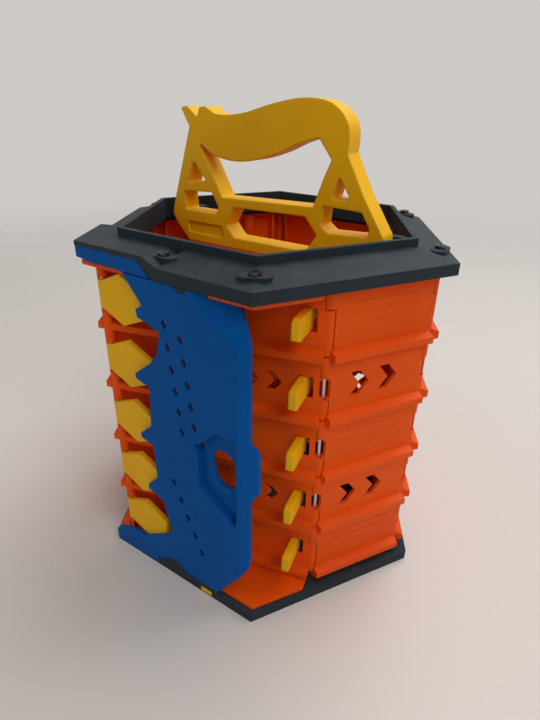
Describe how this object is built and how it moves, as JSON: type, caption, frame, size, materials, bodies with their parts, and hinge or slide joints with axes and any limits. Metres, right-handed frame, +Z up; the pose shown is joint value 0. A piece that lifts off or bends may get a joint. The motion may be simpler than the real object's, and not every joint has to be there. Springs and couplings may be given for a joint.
{
  "type": "roll-out toy race track",
  "caption": "Hexagonal carry case wrapped in a hinged multi-lane toy car track that unrolls, with a slam-paddle launcher under a corner cover and a carry handle.",
  "frame": {"origin": "middle of the base's underside, on the floor", "axes": "+Z up, +X along the handle towards the corner between the first two swinging panels, -Y out of the launcher's cover"},
  "size_m": [0.244, 0.2114, 0.2968],
  "materials": {
    "orange": "moulded orange polypropylene, low gloss",
    "yellow": "moulded yellow ABS, low gloss",
    "blue": "moulded deep blue ABS, low gloss",
    "slate": "moulded dark slate ABS, fine texture",
    "steel": "plain steel wire and screws"
  },
  "bodies": {
    "case": {"base_plate": "slate", "base_strip": "blue", "base_nub": "yellow", "base_screws": "steel", "top_ring": "slate", "ring_under_plate": "slate", "ring_strip": "blue", "ring_screws": "steel", "handle": "yellow", "handle_bolts": "steel", "rear_panel_left": "orange", "rear_panel_right": "orange", "pin_rear_left": "steel", "pin_rear": "steel"},
    "panel_3": {"track_panel_3": "orange", "pin_right_rear": "steel"},
    "panel_2": {"track_panel_2": "orange", "pin_right": "steel"},
    "panel_1": {"track_panel_1": "orange", "pin_launcher": "steel"},
    "launcher": {"launcher_deck": "orange", "side_plate_lower": "orange", "side_plate_upper": "orange", "launcher_cover": "blue", "launcher_screws": "steel", "latch_catches": "slate", "paddle_shaft": "steel", "kicker_shaft": "steel", "kicker_springs": "steel"},
    "paddle_1": {"paddle_1": "yellow"},
    "pushrod_1": {"pushrod_1": "yellow"},
    "kicker_1": {"kicker_1": "yellow"},
    "paddle_2": {"paddle_2": "yellow"},
    "pushrod_2": {"pushrod_2": "yellow"},
    "kicker_2": {"kicker_2": "yellow"},
    "paddle_3": {"paddle_3": "yellow"},
    "pushrod_3": {"pushrod_3": "yellow"},
    "kicker_3": {"kicker_3": "yellow"},
    "paddle_4": {"paddle_4": "yellow"},
    "pushrod_4": {"pushrod_4": "yellow"},
    "kicker_4": {"kicker_4": "yellow"},
    "paddle_5": {"paddle_5": "yellow"},
    "pushrod_5": {"pushrod_5": "yellow"},
    "kicker_5": {"kicker_5": "yellow"}
  },
  "joints": [
    {"name": "rear_hinge", "type": "hinge", "parent": "case", "child": "panel_3", "pos_m": [-0.0545, 0.0944, 0.11], "axis": [0, 0, 1], "range_deg": [0, 60]},
    {"name": "right_rear_hinge", "type": "hinge", "parent": "panel_3", "child": "panel_2", "pos_m": [0.0545, 0.0944, 0.11], "axis": [0, 0, 1], "range_deg": [0, 60]},
    {"name": "right_hinge", "type": "hinge", "parent": "panel_2", "child": "panel_1", "pos_m": [0.109, 0, 0.11], "axis": [0, 0, 1], "range_deg": [0, 60]},
    {"name": "launcher_hinge", "type": "hinge", "parent": "panel_1", "child": "launcher", "pos_m": [0.0756, -0.05785, 0.11], "axis": [0, 0, 1], "range_deg": [0, 44.1]},
    {"name": "paddle_1_press", "type": "hinge", "parent": "launcher", "child": "paddle_1", "pos_m": [-0.04769, -0.09978, 0.03405], "axis": [0, 0, 1], "range_deg": [0, 14], "stiffness_Nm_per_rad": 0.05},
    {"name": "pushrod_1_slide", "type": "slide", "parent": "launcher", "child": "pushrod_1", "axis": [-0.9627, -0.2706, 0], "range_m": [0, 0.0036]},
    {"name": "kicker_1_kick", "type": "hinge", "parent": "launcher", "child": "kicker_1", "pos_m": [0.06485, -0.05952, 0.03405], "axis": [0, 0, 1], "range_deg": [0, 33]},
    {"name": "paddle_2_press", "type": "hinge", "parent": "launcher", "child": "paddle_2", "pos_m": [-0.04769, -0.09978, 0.07415], "axis": [0, 0, 1], "range_deg": [0, 14], "stiffness_Nm_per_rad": 0.05},
    {"name": "pushrod_2_slide", "type": "slide", "parent": "launcher", "child": "pushrod_2", "axis": [-0.9627, -0.2706, 0], "range_m": [0, 0.0036]},
    {"name": "kicker_2_kick", "type": "hinge", "parent": "launcher", "child": "kicker_2", "pos_m": [0.06485, -0.05952, 0.07415], "axis": [0, 0, 1], "range_deg": [0, 33]},
    {"name": "paddle_3_press", "type": "hinge", "parent": "launcher", "child": "paddle_3", "pos_m": [-0.04769, -0.09978, 0.11425], "axis": [0, 0, 1], "range_deg": [0, 14], "stiffness_Nm_per_rad": 0.05},
    {"name": "pushrod_3_slide", "type": "slide", "parent": "launcher", "child": "pushrod_3", "axis": [-0.9627, -0.2706, 0], "range_m": [0, 0.0036]},
    {"name": "kicker_3_kick", "type": "hinge", "parent": "launcher", "child": "kicker_3", "pos_m": [0.06485, -0.05952, 0.11425], "axis": [0, 0, 1], "range_deg": [0, 33]},
    {"name": "paddle_4_press", "type": "hinge", "parent": "launcher", "child": "paddle_4", "pos_m": [-0.04769, -0.09978, 0.15435], "axis": [0, 0, 1], "range_deg": [0, 14], "stiffness_Nm_per_rad": 0.05},
    {"name": "pushrod_4_slide", "type": "slide", "parent": "launcher", "child": "pushrod_4", "axis": [-0.9627, -0.2706, 0], "range_m": [0, 0.0036]},
    {"name": "kicker_4_kick", "type": "hinge", "parent": "launcher", "child": "kicker_4", "pos_m": [0.06485, -0.05952, 0.15435], "axis": [0, 0, 1], "range_deg": [0, 33]},
    {"name": "paddle_5_press", "type": "hinge", "parent": "launcher", "child": "paddle_5", "pos_m": [-0.04769, -0.09978, 0.19445], "axis": [0, 0, 1], "range_deg": [0, 14], "stiffness_Nm_per_rad": 0.05},
    {"name": "pushrod_5_slide", "type": "slide", "parent": "launcher", "child": "pushrod_5", "axis": [-0.9627, -0.2706, 0], "range_m": [0, 0.0036]},
    {"name": "kicker_5_kick", "type": "hinge", "parent": "launcher", "child": "kicker_5", "pos_m": [0.06485, -0.05952, 0.19445], "axis": [0, 0, 1], "range_deg": [0, 33]}
  ],
  "couplings": [
    {"joint": "pushrod_1_slide", "follows": "paddle_1_press", "m_per_rad": 0.0145},
    {"joint": "kicker_1_kick", "follows": "paddle_1_press", "ratio": 2.3387},
    {"joint": "pushrod_2_slide", "follows": "paddle_2_press", "m_per_rad": 0.0145},
    {"joint": "kicker_2_kick", "follows": "paddle_2_press", "ratio": 2.3387},
    {"joint": "pushrod_3_slide", "follows": "paddle_3_press", "m_per_rad": 0.0145},
    {"joint": "kicker_3_kick", "follows": "paddle_3_press", "ratio": 2.3387},
    {"joint": "pushrod_4_slide", "follows": "paddle_4_press", "m_per_rad": 0.0145},
    {"joint": "kicker_4_kick", "follows": "paddle_4_press", "ratio": 2.3387},
    {"joint": "pushrod_5_slide", "follows": "paddle_5_press", "m_per_rad": 0.0145},
    {"joint": "kicker_5_kick", "follows": "paddle_5_press", "ratio": 2.3387}
  ]
}
